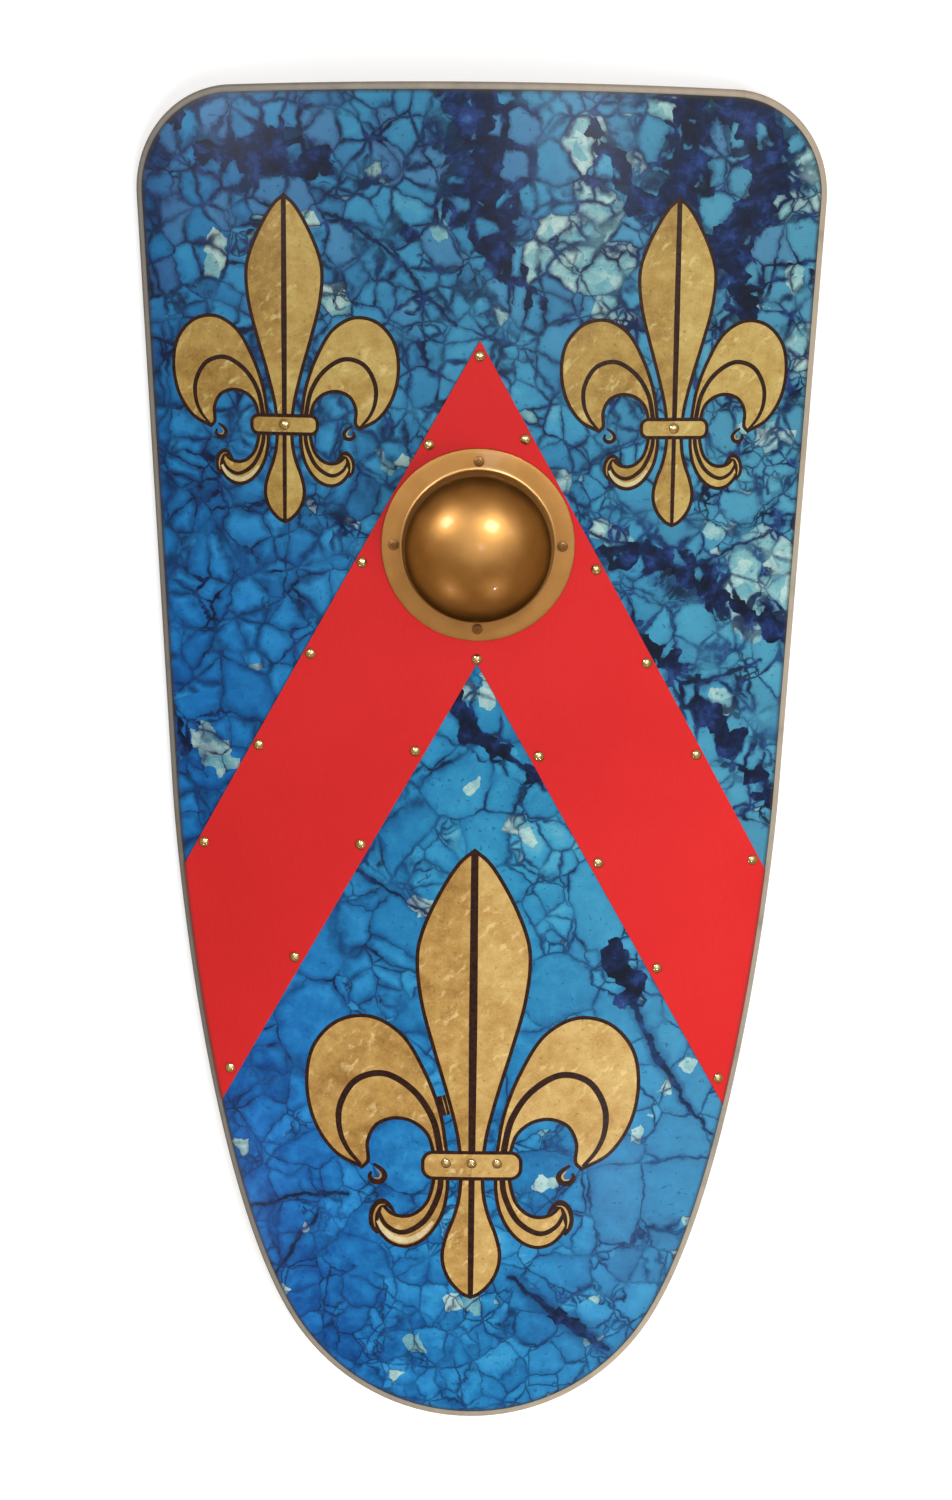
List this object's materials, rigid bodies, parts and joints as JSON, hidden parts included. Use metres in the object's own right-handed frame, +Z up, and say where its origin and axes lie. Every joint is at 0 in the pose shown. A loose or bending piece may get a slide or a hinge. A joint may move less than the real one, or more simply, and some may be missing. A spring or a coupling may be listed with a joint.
{
  "type": "kite shield",
  "caption": "Tall bowed wooden shield with a rounded foot, a blue facing with gold fleurs, a red chevron band, a gilt domed boss and a hand grip behind it.",
  "frame": {"origin": "on the floor under the middle of the shield's bounding box, as it lies face up on its two long edges", "axes": "+Y along the shield towards its top edge, +X to its right as seen from the front, +Z up, out of its face"},
  "size_m": [0.5404, 1.1, 0.1049],
  "materials": {
    "plywood": "bare plywood, satin",
    "printed_face": "glossy print of blue veined stone with mottled gold fleurs",
    "red_cloth": "fine red cloth, matt",
    "gilt_steel": "gilt steel, satin",
    "gilt_screw": "gilt paint over steel",
    "brass": "polished",
    "grip_wood": "oiled ash",
    "zinc_screw": "zinc plated"
  },
  "bodies": {
    "root": {"board": "plywood", "printed_facing": "printed_face", "chevron": "red_cloth", "boss": "gilt_steel", "grip": "grip_wood", "chevron_nail_point": "brass", "chevron_nail_notch": "brass", "chevron_nail_outer_left_1": "brass", "chevron_nail_outer_left_2": "brass", "chevron_nail_outer_left_3": "brass", "chevron_nail_outer_left_4": "brass", "chevron_nail_outer_left_5": "brass", "chevron_nail_outer_right_1": "brass", "chevron_nail_outer_right_2": "brass", "chevron_nail_outer_right_3": "brass", "chevron_nail_outer_right_4": "brass", "chevron_nail_outer_right_5": "brass", "chevron_nail_inner_left_1": "brass", "chevron_nail_inner_left_2": "brass", "chevron_nail_inner_left_3": "brass", "chevron_nail_inner_left_4": "brass", "chevron_nail_inner_right_1": "brass", "chevron_nail_inner_right_2": "brass", "chevron_nail_inner_right_3": "brass", "chevron_nail_inner_right_4": "brass", "fleur_stud_upper_left": "brass", "fleur_stud_upper_right": "brass", "fleur_stud_lower_left": "brass", "fleur_stud_lower_middle": "brass", "fleur_stud_lower_right": "brass", "boss_screw_top": "gilt_screw", "boss_screw_right": "gilt_screw", "boss_screw_bottom": "gilt_screw", "boss_screw_left": "gilt_screw", "grip_screw_left": "zinc_screw", "grip_screw_right": "zinc_screw"}
  },
  "joints": []
}
